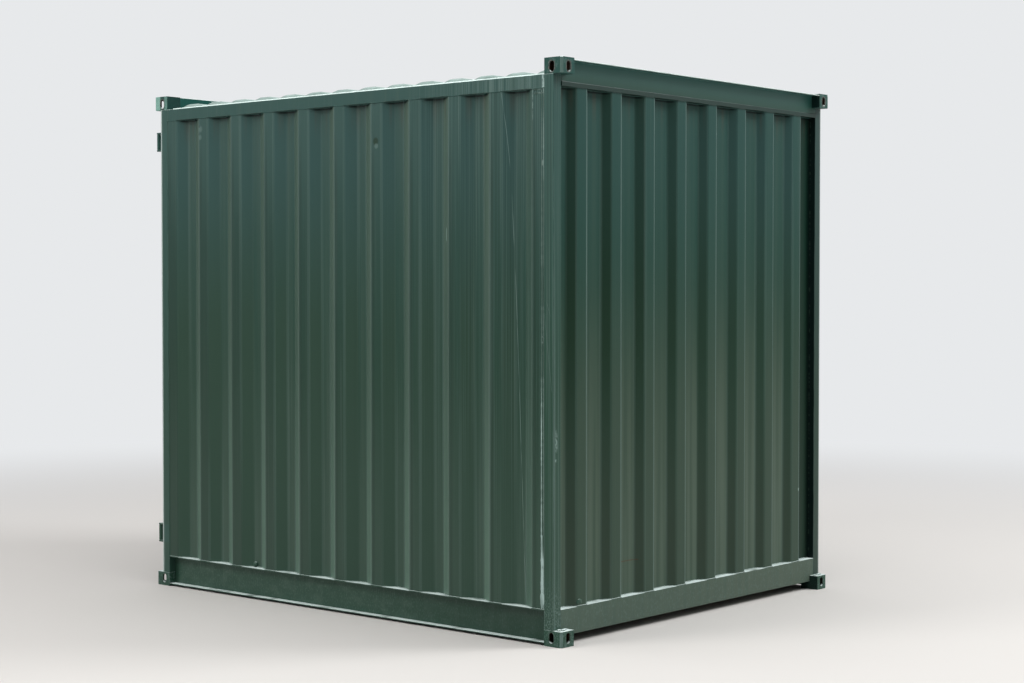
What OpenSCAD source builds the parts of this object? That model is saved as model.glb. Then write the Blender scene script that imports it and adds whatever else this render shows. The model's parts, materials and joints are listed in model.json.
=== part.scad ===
// Small steel shipping container: posts, rails, headers and sills between eight
// corner fittings, with thin corrugated walls and two swing doors at one end.
// Millimetres, +Z up. The origin is on the ground at the middle of the footprint.
// The doors close the -Y end and the blind end wall closes the +Y end.

/* [Overall size] */
// Length over the corner fittings
ext_l = 2615; // [2300:5:3000]
// Width over the corner fittings
ext_w = 2082; // [1900:2:2440]
// Height over the corner fittings
ext_h = 2438; // [2200:1:2900]

/* [Corner fittings] */
// How far a fitting stands out past the posts at both ends
fit_out = 44; // [40:1:60]
// Width of a fitting across the container
fit_w = 82; // [70:1:110]
// Height of a fitting
fit_h = 67; // [64:1:80]
// Wall thickness of a fitting
fit_wall = 10; // [6:1:12]
// Length of the oval holes
hole_l = 45; // [34:1:46]
// Width of the oval holes
hole_w = 27; // [16:1:30]
// Distance of a side hole's middle from the fitting's end face
side_hole_y = 55; // [44:1:58]
// Distance of an end hole's middle from the fitting's side face
end_hole_x = 45; // [38:1:46]
// Distance of both holes' middles from the fitting's outer cap
hole_z = 37; // [33:1:38]

/* [Frame] */
// Post size along the container
post_l = 50; // [48:1:60]
// Post and top side rail size across the container
post_w = 50; // [46:1:64]
// Wall thickness of the posts and the top side rails
post_t = 4; // [3:0.5:6]
// Height of a top side rail
top_rail_h = 56; // [50:1:80]
// Height of the bottom side rails' and the sills' tops above the ground
low_rail_top = 150; // [140:1:158]
// Gap between the ground and a bottom side rail
low_rail_lift = 10; // [6:1:20]
// How far a bottom side rail's web lies behind its flange edges
low_rail_recess = 34; // [30:1:38]
// Steel thickness of the bottom side rails
low_rail_t = 4.5; // [3:0.5:6]
// Gap between the ground and a sill
sill_lift = 38; // [20:1:50]
// Depth of the door end's sill and header along the container
door_beam_l = 60; // [50:1:80]
// How far the door end's sill and header stand out past the doors' faces
beam_out = 3; // [0:1:4]
// Gap between a door jamb and the side wall beside it
jamb_gap = 1; // [1:0.5:3]
// Wall thickness of the sills and headers
beam_t = 4; // [3:0.5:5]
// Height of a header
header_h = 108; // [90:1:130]
// Gap between the blind header's top and the top of the fittings
header_drop = 6; // [4:1:12]
// Gap between the door header's top and the top of the fittings
door_header_drop = 1; // [0.5:0.5:12]
// Thickness of the blind header's top flange
flange_t = 4; // [3:0.5:6]
// Height of the lip along the blind header's lower edge
lip_h = 19; // [10:1:24]
// How far that lip stands out
lip_out = 4; // [2:0.5:8]

/* [Walls] */
// Sheet thickness of the walls and the roof
sheet_t = 2; // [1.5:0.1:4]
// How far the walls' outer flats lie inside the faces of the rails
sheet_inset = 2; // [1:0.5:4]
// Depth of the wall corrugation
corr_depth = 33; // [24:1:36]
// Pitch that the wall corrugation comes near
corr_pitch = 239.5; // [200:0.5:280]
// Width of a side wall's outer flats
side_flat = 66; // [50:1:80]
// Run of a side wall's slopes
side_run = 60; // [40:1:64]
// Width of the outer flats on the end wall and the doors
end_flat = 68; // [50:1:80]
// Run of the slopes on the end wall and the doors
end_run = 38; // [24:1:50]
// First inner flat of the end wall, next to the right post
end_lead = 70; // [50:1:90]

/* [Roof and floor] */
// Height of the roof ribs
rib_h = 22; // [12:1:30]
// Pitch of the roof ribs, counted from the door end
rib_pitch = 175.5; // [150:0.5:220]
// Flat between two roof ribs
rib_gap = 18; // [12:1:40]
// Run of the slopes along a roof rib
rib_side_run = 48; // [20:1:50]
// Distance of the roof ribs' ends from the side faces
rib_edge = 28; // [20:1:60]
// Run of the slope at a roof rib's end
rib_end_run = 30; // [20:1:80]
// Distance of the roof sheet's edges from the side faces
roof_edge = 9; // [4:1:18]
// Thickness of the floor boards
floor_t = 28; // [18:1:30]
// Height of a cross member under the floor
cross_h = 92; // [70:1:100]
// Flange width of a cross member
cross_w = 45; // [30:1:60]
// Steel thickness of a cross member
cross_t = 4; // [3:0.5:6]
// Pitch that the cross members come near
cross_pitch = 300; // [250:10:400]

/* [Doors] */
// Angle that both doors stand open
door_open = 0; // [0:1:270]
// Distance of a door's outer face behind the face of the posts
leaf_set = 31; // [31:1:36]
// Thickness of a door's frame
leaf_t = 45; // [42:1:56]
// Gap round a door, between its frame and the posts, sill and header
leaf_gap = 10; // [10:1:14]
// Gap between the two doors' frames
meet_gap = 20; // [20:1:28]
// Steel thickness of a door's frame tubes
leaf_tube_t = 3; // [2:0.5:5]
// Width of a door frame's upright members
stile_w = 50; // [40:1:70]
// Height of a door frame's cross members
cross_bar_h = 60; // [50:1:90]
// How far a gasket stands out of a door's edge
gasket_out = 4.5; // [3:0.5:5]
// Depth of a gasket along the container
gasket_l = 24; // [16:1:30]

/* [Hinges] */
// Distance of a hinge pin in front of the posts' face
pin_front = 27; // [27:0.5:30]
// Radius of a hinge pin
pin_r = 7; // [5:0.5:7]
// Radius of a lug's rounded nose, and the pin's distance inside the side face
lug_r = 11; // [11:0.5:13]
// Height of a hinge over its lugs
hinge_h = 93; // [80:1:140]
// Thickness of a lug
lug_t = 8; // [8:1:16]
// Gap between a lug and the blade between the lugs
lug_gap = 1.5; // [1:0.5:3]
// Wall thickness of a blade's barrel round its pin
barrel_t = 3; // [2:0.5:3]
// Reach of a blade's neck from the middle of its pin
neck_l = 18; // [14:1:20]
// Height of the lower hinges' middle
hinge_low_z = 263; // [240:1:500]
// Distance of the upper hinges' middle below the top of the fittings
hinge_top_drop = 224; // [200:1:500]
// Thickness of a hinge blade
blade_t = 6; // [4:0.5:6]
// Length of a blade's foot on the door
blade_foot = 60; // [40:1:70]

/* [Locking gear] */
// Radius of a lock rod
rod_r = 12; // [10:0.5:13]
// Distance of a lock rod's axis in front of its door
rod_off = 24; // [22:0.5:26]
// Distance of a lock rod from its door's meeting edge
rod_inset = 250; // [180:5:400]
// How far a lock rod reaches past its door, over the sill and the header
rod_reach = 46; // [40:1:50]
// Width of a cam at a rod's end
cam_w = 44; // [30:1:60]
// Height of a cam
cam_h = 26; // [20:1:30]
// Thickness of a cam
cam_t = 12; // [8:1:16]
// Thickness of the plates of a keeper and of a handle's catch
keeper_t = 8; // [6:1:12]
// Height of a keeper
keeper_h = 40; // [30:1:44]
// Further gap beside a cam for the swing of its door
swing_room = 2; // [2:0.5:4]
// Height of a handle above the ground
handle_z = 1010; // [800:10:1300]
// Length of a handle from its rod
handle_l = 420; // [300:10:460]
// Height of a handle's bar
handle_h = 36; // [24:1:50]
// Thickness of a handle's bar
handle_t = 8; // [6:1:10]
// Wall thickness of a handle's collar round its rod
collar_t = 5; // [3:1:5]
// How far that collar stands above and below the handle's bar
collar_rise = 10; // [4:1:20]
// Distance of a handle's catch from the folds beside it
catch_margin = 6; // [4:1:12]
// Width of a rod guide
guide_w = 60; // [54:1:80]
// Height of a rod guide
guide_h = 40; // [24:1:50]
// Clearance of a moving or fitted piece from the piece that it runs in
fit_clear = 0.3; // [0.2:0.05:0.6]
// Clearance of a moving piece from what it passes
move_clear = 5; // [5:0.5:6]

/* [Hidden] */

$fn = 48;
eps = 1;

// Flats that make up each slope along a roof rib
rib_steps = 8;

// Sides of the container, as signs
LEFT = -1;
RIGHT = 1;
DOOR = -1;
BLIND = 1;
LOWER = -1;
UPPER = 1;

// Overall planes
half_l = ext_l / 2;
half_w = ext_w / 2;
fit_l = fit_out + post_l;
inner_l = half_l - fit_l;
inner_w = half_w - post_w;
rail_top = ext_h - fit_h;
rail_under = rail_top - top_rail_h;
header_top = ext_h - header_drop;
header_under = header_top - header_h;

// Door end planes, counted inwards from the face of the fittings
leaf_face = fit_out + leaf_set;
beam_face = leaf_face - beam_out;
beam_back = beam_face + door_beam_l;
jamb_t = post_w - sheet_inset - corr_depth - sheet_t - jamb_gap;

// Door leaf, right side
leaf_x0 = meet_gap / 2;
leaf_x1 = inner_w - leaf_gap;
leaf_z0 = low_rail_top + leaf_gap;
leaf_z1 = header_under - leaf_gap;
leaf_y0 = -half_l + leaf_face;
leaf_y1 = leaf_y0 + leaf_t;

// Folds of a door's panel, right side
panel_x0 = leaf_x0 + stile_w;
panel_w = leaf_x1 - stile_w - panel_x0;
end_fold_w = 2 * end_run + end_flat;
panel_folds = floor((panel_w - end_fold_w) / corr_pitch) + 1;
panel_lead = (panel_w - end_fold_w - (panel_folds - 1) * corr_pitch) / 2;

// Hinge pin, right side
pin_x = half_w - lug_r;
pin_y = -half_l + fit_out - pin_front;
barrel_r = pin_r + barrel_t;
hinge_zs = [hinge_low_z, ext_h - hinge_top_drop];
blade_h = hinge_h - 2 * (lug_t + lug_gap);

// Lock rod, right side
rod_x = leaf_x0 + rod_inset;
rod_y = leaf_y0 - rod_off;
cam_zs = [leaf_z0 - rod_reach + cam_h / 2, leaf_z1 + rod_reach - cam_h / 2];
guide_zs = [leaf_z0 + cross_bar_h / 2, leaf_z1 - cross_bar_h / 2];
handle_y = rod_y + rod_r - handle_t;
first_flat_x = panel_x0 + panel_lead + end_fold_w / 2;
catch_x = first_flat_x + corr_pitch * floor((rod_x + handle_l - first_flat_x) / corr_pitch);
catch_y = leaf_y0 + sheet_inset;

steel_green = [0.17, 0.27, 0.25];
dark_green = [0.13, 0.22, 0.20];
worn_steel = [0.30, 0.36, 0.34];
rubber_black = [0.06, 0.06, 0.06];
board_brown = [0.35, 0.24, 0.16];

// Moves a piece of the right side to either side of the container
module on_side(side) {
    mirror([side == LEFT ? 1 : 0, 0, 0]) children();
}

// Moves a piece of the blind end to either end
module on_end(end) {
    mirror([0, end == DOOR ? 1 : 0, 0]) children();
}

// Moves a piece at the ground to the lower or the upper level
module on_level(level) {
    if (level == UPPER) translate([0, 0, ext_h]) mirror([0, 0, 1]) children();
    else children();
}

// Box between two corners
module block(low, high) {
    translate(low) cube(high - low);
}

// Rectangular tube between two corners, open at both ends along one axis
module tube_block(low, high, t, along) {
    wall = [along == "x" ? -eps : t, along == "y" ? -eps : t, along == "z" ? -eps : t];
    difference() {
        block(low, high);
        block(low + wall, high - wall);
    }
}

// Oval cutter through a fitting's wall, standing on its long axis along Z
module oval_cut(l, w, depth) {
    rotate([90, 0, 0]) {
        translate([0, (l - w) / 2, 0]) cylinder(r = w / 2, h = depth, center = true);
        translate([0, -(l - w) / 2, 0]) cylinder(r = w / 2, h = depth, center = true);
        cube([w, l - w, depth], center = true);
    }
}

// Outline steps of a corrugated sheet: count folds, each from base to crest and back
function folds(first, count, pitch, crest_w, run, base, crest) = [
    for (i = [0 : count - 1])
        for (p = [[0, base], [run, crest], [run + crest_w, crest], [2 * run + crest_w, base]])
            [first + i * pitch + p[0], p[1]]
];

// Closed outline of a sheet of even thickness behind a line of [along, depth] points
function sheet_outline(line) = concat(
    line,
    [for (i = [len(line) - 1 : -1 : 0]) [line[i][0], line[i][1] + sheet_t]]
);

// Hollow corner fitting with an oval hole in its side, end and outer cap
module corner_fitting(side, end, level) {
    centre = [half_w - fit_w / 2, half_l - fit_l / 2, fit_h / 2];
    size = [fit_w, fit_l, fit_h];
    cavity = size - [1, 1, 1] * 2 * fit_wall;
    cut = 2 * fit_wall + eps;
    color(worn_steel) on_side(side) on_end(end) on_level(level)
        difference() {
            translate(centre) cube(size, center = true);
            translate(centre) cube(cavity, center = true);
            translate([half_w, half_l - side_hole_y, hole_z]) rotate([0, 0, 90])
                oval_cut(hole_l, hole_w, cut);
            translate([half_w - end_hole_x, half_l, hole_z]) oval_cut(hole_l, hole_w, cut);
            translate([centre[0], centre[1], 0]) rotate([90, 0, 90]) oval_cut(hole_l, hole_w, cut);
        }
}

// Square tube between the lower and the upper fitting
module corner_post(side, end) {
    color(steel_green) on_side(side) on_end(end) {
        tube_block([inner_w, inner_l, fit_h], [half_w, half_l - fit_out, rail_top], post_t, "z");
        if (end == DOOR)
            block([inner_w, half_l - beam_back, low_rail_top],
                  [inner_w + jamb_t, inner_l + post_t / 2, min(rail_under, header_under)]);
    }
}

// Rectangular tube along the top of a side wall
module top_side_rail(side) {
    color(steel_green) on_side(side)
        tube_block([inner_w, -inner_l, rail_under], [half_w, inner_l, rail_top], post_t, "y");
}

// Channel along the bottom of a side wall, open to the outside
module bottom_side_rail(side) {
    web_x = half_w - low_rail_recess;
    color(steel_green) on_side(side)
        difference() {
            block([web_x - low_rail_t, -inner_l, low_rail_lift], [half_w, inner_l, low_rail_top]);
            block([web_x, -inner_l - eps, low_rail_lift + low_rail_t],
                  [half_w + eps, inner_l + eps, low_rail_top - low_rail_t]);
        }
}

// Hollow beam across an end: wide between the posts and tall between the fittings
module end_beam(wide_y, wide_z, tall_y, tall_z) {
    fit_x = half_w - fit_w;
    color(steel_green) difference() {
        union() {
            block([-inner_w, wide_y[0], wide_z[0]], [inner_w, wide_y[1], wide_z[1]]);
            block([-fit_x, tall_y[0], tall_z[0]], [fit_x, tall_y[1], tall_z[1]]);
        }
        block([-inner_w - eps, wide_y[0] + beam_t, wide_z[0] + beam_t],
              [inner_w + eps, wide_y[1] - beam_t, wide_z[1] - beam_t]);
        block([-fit_x + beam_t, tall_y[0] + beam_t, tall_z[0] + beam_t],
              [fit_x - beam_t, tall_y[1] - beam_t, tall_z[1] - beam_t]);
    }
}

// Beam over the doors, flush with the fittings' inner faces above the roof
module header_door_end() {
    end_beam([-half_l + beam_face, -half_l + beam_back], [header_under, rail_top],
             [-half_l + beam_face, -half_l + fit_l], [header_under, ext_h - door_header_drop]);
}

// Beam over the end wall with a top flange out to the fittings' face and a lip below
module header_blind_end() {
    face_y = half_l - fit_out;
    fit_x = half_w - fit_w;
    end_beam([inner_l, face_y], [header_under, rail_top], [inner_l, face_y], [header_under, header_top]);
    color(steel_green) {
        block([-fit_x, face_y - beam_t, header_top - flange_t], [fit_x, half_l, header_top]);
        block([-inner_w, face_y - beam_t, header_under], [inner_w, face_y + lip_out, header_under + lip_h]);
    }
}

// Sills, which reach down between the lower fittings
module sill_door_end() {
    beam_y = [-half_l + beam_face, -half_l + beam_back];
    end_beam(beam_y, [fit_h, low_rail_top], beam_y, [sill_lift, low_rail_top]);
}

module sill_blind_end() {
    beam_y = [inner_l, half_l - fit_out];
    end_beam(beam_y, [fit_h, low_rail_top], beam_y, [sill_lift, low_rail_top]);
}

// Corrugated side wall: whole folds between two outer flats at the posts
module side_wall(side) {
    length = 2 * inner_l;
    count = round((length - side_flat) / corr_pitch);
    pitch = (length - side_flat) / count;
    line = concat(
        [[0, 0]],
        folds(side_flat, count, pitch, pitch - side_flat - 2 * side_run, side_run, 0, corr_depth),
        [[length, 0]]
    );
    color(steel_green) on_side(side)
        translate([0, 0, low_rail_top]) linear_extrude(rail_under - low_rail_top)
            polygon([for (p = sheet_outline(line)) [half_w - sheet_inset - p[1], p[0] - inner_l]]);
}

// Corrugated end wall, which starts and ends on an inner flat
module end_wall() {
    length = 2 * inner_w;
    count = floor((length - end_lead - end_fold_w) / corr_pitch) + 1;
    line = concat(
        [[0, corr_depth]],
        folds(end_lead, count, corr_pitch, end_flat, end_run, corr_depth, 0),
        [[length, corr_depth]]
    );
    color(steel_green)
        translate([0, 0, low_rail_top]) linear_extrude(header_under - low_rail_top)
            polygon([for (p = sheet_outline(line))
                [inner_w - p[0], half_l - fit_out - sheet_inset - p[1]]]);
}

// Height of a roof rib's slope after a number of its flats
function rib_rise(flats) = rail_top + sheet_t + rib_h * (1 - cos(180 * flats / rib_steps)) / 2;

// Solid under the roof ribs, with sloping ends, cut at the blind header's back or a reach past it
module rib_bodies(reach) {
    low_y = -half_l + beam_back;
    count = floor((inner_l - low_y - 2 * rib_gap) / rib_pitch) + 1;
    span = rib_pitch - rib_gap;
    top_z = rail_top + sheet_t;
    end_x = half_w - rib_edge;
    intersection() {
        for (i = [0 : count - 1])
            translate([-half_w, low_y + rib_gap + i * rib_pitch, 0]) rotate([90, 0, 90])
                linear_extrude(ext_w) polygon(concat(
                    [[0, rail_top]],
                    [for (k = [0 : rib_steps]) [rib_side_run * k / rib_steps, rib_rise(k)]],
                    [for (k = [rib_steps : -1 : 0]) [span - rib_side_run * k / rib_steps, rib_rise(k)]],
                    [[span, rail_top]]
                ));
        translate([0, inner_l + reach, 0]) rotate([90, 0, 0]) linear_extrude(inner_l + reach - low_y)
            polygon([
                [-end_x, rail_top - eps], [end_x, rail_top - eps], [end_x, top_z],
                [end_x - rib_end_run, top_z + rib_h + eps], [-end_x + rib_end_run, top_z + rib_h + eps],
                [-end_x, top_z]
            ]);
    }
}

// Roof sheet on the rails with pressed ribs across it
module roof() {
    low_y = -half_l + beam_back;
    edge_x = half_w - roof_edge;
    color(steel_green) difference() {
        union() {
            block([-edge_x, low_y, rail_top], [edge_x, inner_l, rail_top + sheet_t]);
            rib_bodies(0);
        }
        translate([0, 0, -sheet_t]) rib_bodies(eps);
    }
}

// Floor boards between the webs of the bottom rails and between the sills
module floor_boards() {
    edge_x = half_w - low_rail_recess - low_rail_t;
    color(board_brown)
        block([-edge_x, -half_l + beam_back, low_rail_top - floor_t], [edge_x, inner_l, low_rail_top]);
}

// Channels under the floor from web to web
module cross_members() {
    edge_x = half_w - low_rail_recess - low_rail_t;
    low_y = -half_l + beam_back;
    length = inner_l - low_y;
    count = round(length / cross_pitch) - 1;
    pitch = length / (count + 1);
    top_z = low_rail_top - floor_t;
    color(dark_green)
        for (i = [1 : count])
            translate([0, low_y + i * pitch - cross_w / 2, top_z - cross_h])
                difference() {
                    block([-edge_x, 0, 0], [edge_x, cross_w, cross_h]);
                    block([-edge_x - eps, cross_t, cross_t],
                          [edge_x + eps, cross_w + eps, cross_h - cross_t]);
                }
}

// Two hinges' lugs on a door post, each pair with its pin
module hinge_lugs(side) {
    color(steel_green) on_side(side)
        for (z = hinge_zs) {
            for (low = [z - hinge_h / 2, z + hinge_h / 2 - lug_t]) {
                translate([pin_x, pin_y, low]) cylinder(r = lug_r, h = lug_t);
                block([pin_x - lug_r, pin_y, low], [half_w, pin_y + pin_front, low + lug_t]);
            }
            translate([pin_x, pin_y, z - hinge_h / 2]) cylinder(r = pin_r, h = hinge_h);
        }
}

// Swings a piece of the right door about its pins
module door_leaf(side) {
    on_side(side)
        translate([pin_x, pin_y, 0]) rotate([0, 0, door_open]) translate([-pin_x, -pin_y, 0]) children();
}

// Frame of a door, welded from rectangular tubes
module door_frame(side) {
    t = leaf_tube_t;
    color(steel_green) door_leaf(side)
        difference() {
            block([leaf_x0, leaf_y0, leaf_z0], [leaf_x1, leaf_y1, leaf_z1]);
            block([panel_x0, leaf_y0 - eps, leaf_z0 + cross_bar_h],
                  [leaf_x1 - stile_w, leaf_y1 + eps, leaf_z1 - cross_bar_h]);
            for (x = [leaf_x0, leaf_x1 - stile_w])
                block([x + t, leaf_y0 + t, leaf_z0 - eps], [x + stile_w - t, leaf_y1 - t, leaf_z1 + eps]);
            for (z = [leaf_z0, leaf_z1 - cross_bar_h])
                block([leaf_x0 + t, leaf_y0 + t, z + t], [leaf_x1 - t, leaf_y1 - t, z + cross_bar_h - t]);
        }
}

// Corrugated panel inside a door's frame
module door_panel(side) {
    line = concat(
        [[0, corr_depth]],
        folds(panel_lead, panel_folds, corr_pitch, end_flat, end_run, corr_depth, 0),
        [[panel_w, corr_depth]]
    );
    color(steel_green) door_leaf(side)
        translate([0, 0, leaf_z0 + cross_bar_h]) linear_extrude(leaf_z1 - leaf_z0 - 2 * cross_bar_h)
            polygon([for (p = sheet_outline(line))
                [panel_x0 + p[0], leaf_y0 + sheet_inset + p[1]]]);
}

// Rubber seal round a door's edges
module door_gasket(side) {
    color(rubber_black) door_leaf(side)
        difference() {
            block([leaf_x0 - gasket_out, leaf_y1 - gasket_l, leaf_z0 - gasket_out],
                  [leaf_x1 + gasket_out, leaf_y1, leaf_z1 + gasket_out]);
            block([leaf_x0, leaf_y1 - gasket_l - eps, leaf_z0], [leaf_x1, leaf_y1 + eps, leaf_z1]);
        }
}

// Two hinge blades: a barrel on the pin, a strap in front of the post, a leg and a foot
module hinge_blades(side) {
    strap_y1 = pin_y + pin_front - move_clear;
    strap_y0 = strap_y1 - blade_t;
    leg_x1 = leaf_x1;
    leg_x0 = leg_x1 - blade_t;
    color(steel_green) door_leaf(side)
        for (z = hinge_zs)
            translate([0, 0, z - blade_h / 2])
                difference() {
                    union() {
                        translate([pin_x, pin_y, 0]) cylinder(r = barrel_r, h = blade_h);
                        block([pin_x - neck_l, pin_y, 0], [pin_x, strap_y1, blade_h]);
                        block([leg_x0, strap_y0, 0], [pin_x, strap_y1, blade_h]);
                        block([leg_x0, strap_y0, 0], [leg_x1, leaf_y0, blade_h]);
                        block([leg_x1 - blade_foot, leaf_y0 - blade_t, 0], [leg_x1, leaf_y0, blade_h]);
                    }
                    translate([pin_x, pin_y, -eps]) cylinder(r = pin_r + fit_clear, h = blade_h + 2 * eps);
                }
}

// Lock rod with a cam at each end
module lock_rod(side) {
    low_z = leaf_z0 - rod_reach;
    high_z = leaf_z1 + rod_reach;
    color(steel_green) door_leaf(side) {
        translate([rod_x, rod_y, low_z]) cylinder(r = rod_r, h = high_z - low_z);
        for (z = cam_zs)
            translate([rod_x, rod_y, z]) cube([cam_w, cam_t, cam_h], center = true);
    }
}

// Two guides that hold a lock rod and the catch that holds its handle
module lock_brackets(side) {
    catch_w = end_flat - 2 * catch_margin;
    ledge_z = handle_h / 2 + fit_clear;
    catch_z = ledge_z + keeper_t;
    color(steel_green) door_leaf(side) {
        for (z = guide_zs)
            difference() {
                block([rod_x - guide_w / 2, rod_y - rod_r - blade_t / 2, z - guide_h / 2],
                      [rod_x + guide_w / 2, leaf_y0, z + guide_h / 2]);
                translate([rod_x, rod_y, z - guide_h]) cylinder(r = rod_r + fit_clear, h = 2 * guide_h);
            }
        translate([catch_x - catch_w / 2, 0, handle_z])
            difference() {
                block([0, handle_y - fit_clear, -catch_z], [catch_w, catch_y, catch_z]);
                block([-eps, handle_y - fit_clear - eps, -ledge_z],
                      [catch_w + eps, handle_y + handle_t + fit_clear, ledge_z]);
            }
    }
}

// Handle: a collar clamped on the lock rod and a flat bar towards the hinges
module lock_handle(side) {
    collar_r = rod_r + collar_t;
    collar_h = handle_h + 2 * collar_rise;
    color(steel_green) door_leaf(side)
        difference() {
            union() {
                translate([rod_x, rod_y, handle_z - collar_h / 2]) cylinder(r = collar_r, h = collar_h);
                block([rod_x, handle_y, handle_z - handle_h / 2],
                      [rod_x + handle_l, handle_y + handle_t, handle_z + handle_h / 2]);
            }
            translate([rod_x, rod_y, handle_z - collar_h]) cylinder(r = rod_r + fit_clear, h = 2 * collar_h);
        }
}

// Forked keepers on the sill and the header, one round each cam
module lock_keepers() {
    beam_y = -half_l + beam_face;
    side_gap = cam_w / 2 + move_clear + swing_room;
    color(steel_green)
        for (side = [LEFT, RIGHT])
            for (z = cam_zs)
                on_side(side) {
                    block([rod_x - side_gap - keeper_t, beam_y - keeper_t / 2, z - keeper_h / 2],
                          [rod_x + side_gap + keeper_t, beam_y, z + keeper_h / 2]);
                    for (x = [rod_x - side_gap - keeper_t, rod_x + side_gap])
                        block([x, rod_y - cam_t / 2, z - keeper_h / 2],
                              [x + keeper_t, beam_y, z + keeper_h / 2]);
                }
}

corner_fitting(LEFT, DOOR, LOWER);  // lower_fitting_door_end_left
corner_fitting(RIGHT, DOOR, LOWER);  // lower_fitting_door_end_right
corner_fitting(LEFT, BLIND, LOWER);  // lower_fitting_blind_end_left
corner_fitting(RIGHT, BLIND, LOWER);  // lower_fitting_blind_end_right
corner_fitting(LEFT, DOOR, UPPER);  // upper_fitting_door_end_left
corner_fitting(RIGHT, DOOR, UPPER);  // upper_fitting_door_end_right
corner_fitting(LEFT, BLIND, UPPER);  // upper_fitting_blind_end_left
corner_fitting(RIGHT, BLIND, UPPER);  // upper_fitting_blind_end_right
corner_post(LEFT, DOOR);  // corner_post_door_end_left
corner_post(RIGHT, DOOR);  // corner_post_door_end_right
corner_post(LEFT, BLIND);  // corner_post_blind_end_left
corner_post(RIGHT, BLIND);  // corner_post_blind_end_right
top_side_rail(LEFT);  // top_side_rail_left
top_side_rail(RIGHT);  // top_side_rail_right
bottom_side_rail(LEFT);  // bottom_side_rail_left
bottom_side_rail(RIGHT);  // bottom_side_rail_right
header_door_end();
header_blind_end();
sill_door_end();
sill_blind_end();
side_wall(LEFT);  // side_wall_left
side_wall(RIGHT);  // side_wall_right
end_wall();
roof();
floor_boards();  // floor
cross_members();
hinge_lugs(LEFT);  // hinge_lugs_left
hinge_lugs(RIGHT);  // hinge_lugs_right
lock_keepers();
door_frame(LEFT);  // door_frame_left
door_panel(LEFT);  // door_panel_left
door_gasket(LEFT);  // door_gasket_left
hinge_blades(LEFT);  // hinge_blades_left
lock_rod(LEFT);  // lock_rod_left
lock_brackets(LEFT);  // lock_brackets_left
lock_handle(LEFT);  // lock_handle_left
door_frame(RIGHT);  // door_frame_right
door_panel(RIGHT);  // door_panel_right
door_gasket(RIGHT);  // door_gasket_right
hinge_blades(RIGHT);  // hinge_blades_right
lock_rod(RIGHT);  // lock_rod_right
lock_brackets(RIGHT);  // lock_brackets_right
lock_handle(RIGHT);  // lock_handle_right
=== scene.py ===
"""Small steel shipping container, dressed over its packed solids.

Rounded plates and castings, creased and dented sheet, weld beads, sealant, floor boards
and weathered paint, on a plain pale floor in soft studio light. Metres, +Z up.
"""

import json
from math import cos, pi, radians, sin

import bmesh
import bpy
from mathutils import Matrix, Vector, noise


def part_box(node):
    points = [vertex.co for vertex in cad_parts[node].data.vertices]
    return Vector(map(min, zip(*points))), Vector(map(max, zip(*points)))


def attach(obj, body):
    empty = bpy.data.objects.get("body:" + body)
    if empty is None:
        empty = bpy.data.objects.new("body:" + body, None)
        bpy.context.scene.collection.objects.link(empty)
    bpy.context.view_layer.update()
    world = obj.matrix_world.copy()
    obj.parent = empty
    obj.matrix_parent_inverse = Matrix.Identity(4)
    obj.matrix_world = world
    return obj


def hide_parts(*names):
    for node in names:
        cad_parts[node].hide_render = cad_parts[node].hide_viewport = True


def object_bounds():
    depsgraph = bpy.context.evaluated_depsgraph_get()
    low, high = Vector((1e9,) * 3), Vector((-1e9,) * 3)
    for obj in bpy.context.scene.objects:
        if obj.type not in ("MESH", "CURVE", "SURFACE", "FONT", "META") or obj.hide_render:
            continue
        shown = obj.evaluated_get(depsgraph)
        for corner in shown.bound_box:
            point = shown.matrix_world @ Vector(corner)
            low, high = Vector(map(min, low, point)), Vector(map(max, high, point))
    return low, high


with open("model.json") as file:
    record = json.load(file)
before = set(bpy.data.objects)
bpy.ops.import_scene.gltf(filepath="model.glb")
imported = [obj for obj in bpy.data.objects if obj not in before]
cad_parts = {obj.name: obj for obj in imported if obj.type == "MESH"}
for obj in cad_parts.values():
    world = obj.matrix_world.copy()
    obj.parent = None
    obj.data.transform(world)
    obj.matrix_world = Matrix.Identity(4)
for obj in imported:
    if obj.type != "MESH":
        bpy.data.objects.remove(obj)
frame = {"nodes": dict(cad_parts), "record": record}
CAD_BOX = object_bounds()

bl_info = {
    "name": "Small Steel Shipping Container",
    "version": (1, 0, 0),
    "blender": (4, 5, 0),
    "location": "3D View > Sidebar > Container",
    "description": "Dresses a small corrugated steel container over its packed solids",
    "category": "Object",
}

SHARP_TURN = radians(40)
SIDES = ("left", "right")
ENDS = ("door_end", "blind_end")
BODY_OF = {node: body for body, nodes in frame["record"]["behaviour"]["bodies"].items() for node in nodes}

# Places of small details, in metres: along the container and up, or as X, Y and Z.
HINGE_LEVELS = (2.214, 0.263)
DENT_PLACES = ((0.224, 2.303), (0.217, 2.139))
STUDS = (
    ((0.868, 1.2620, 0.168), (0.019, 0.005, 0.012), 1.2),
    ((1.0090, -0.606, 0.164), (0.011, 0.013, 0.013), 2.1),
)
FOOT_LUMPS = (
    ((1.000, 1.2850, 0.0675), (0.012, 0.009, 0.006)),
    ((1.022, 1.2800, 0.0675), (0.010, 0.008, 0.007)),
    ((0.980, 1.2770, 0.0675), (0.008, 0.007, 0.005)),
)
SEALANT_LUMPS = (
    ((1.0392, 1.2030, 2.007), (0.0015, 0.005, 0.012)),
    ((1.0392, 1.2030, 0.190), (0.0016, 0.011, 0.032)),
    ((1.0392, 1.2045, 1.262), (0.0016, 0.003, 0.005)),
    ((1.0392, 1.2045, 1.285), (0.0016, 0.003, 0.003)),
)


def length(name, text, default):
    """A property for a size in metres."""
    return bpy.props.FloatProperty(
        name=name, description=text, default=default, min=0.0, soft_max=10 * default,
        precision=4, unit="LENGTH",
    )


def tint(name, text, default):
    """A property for a colour."""
    return bpy.props.FloatVectorProperty(
        name=name, description=text, default=default, min=0.0, max=1.0, size=3, subtype="COLOR",
    )


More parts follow.
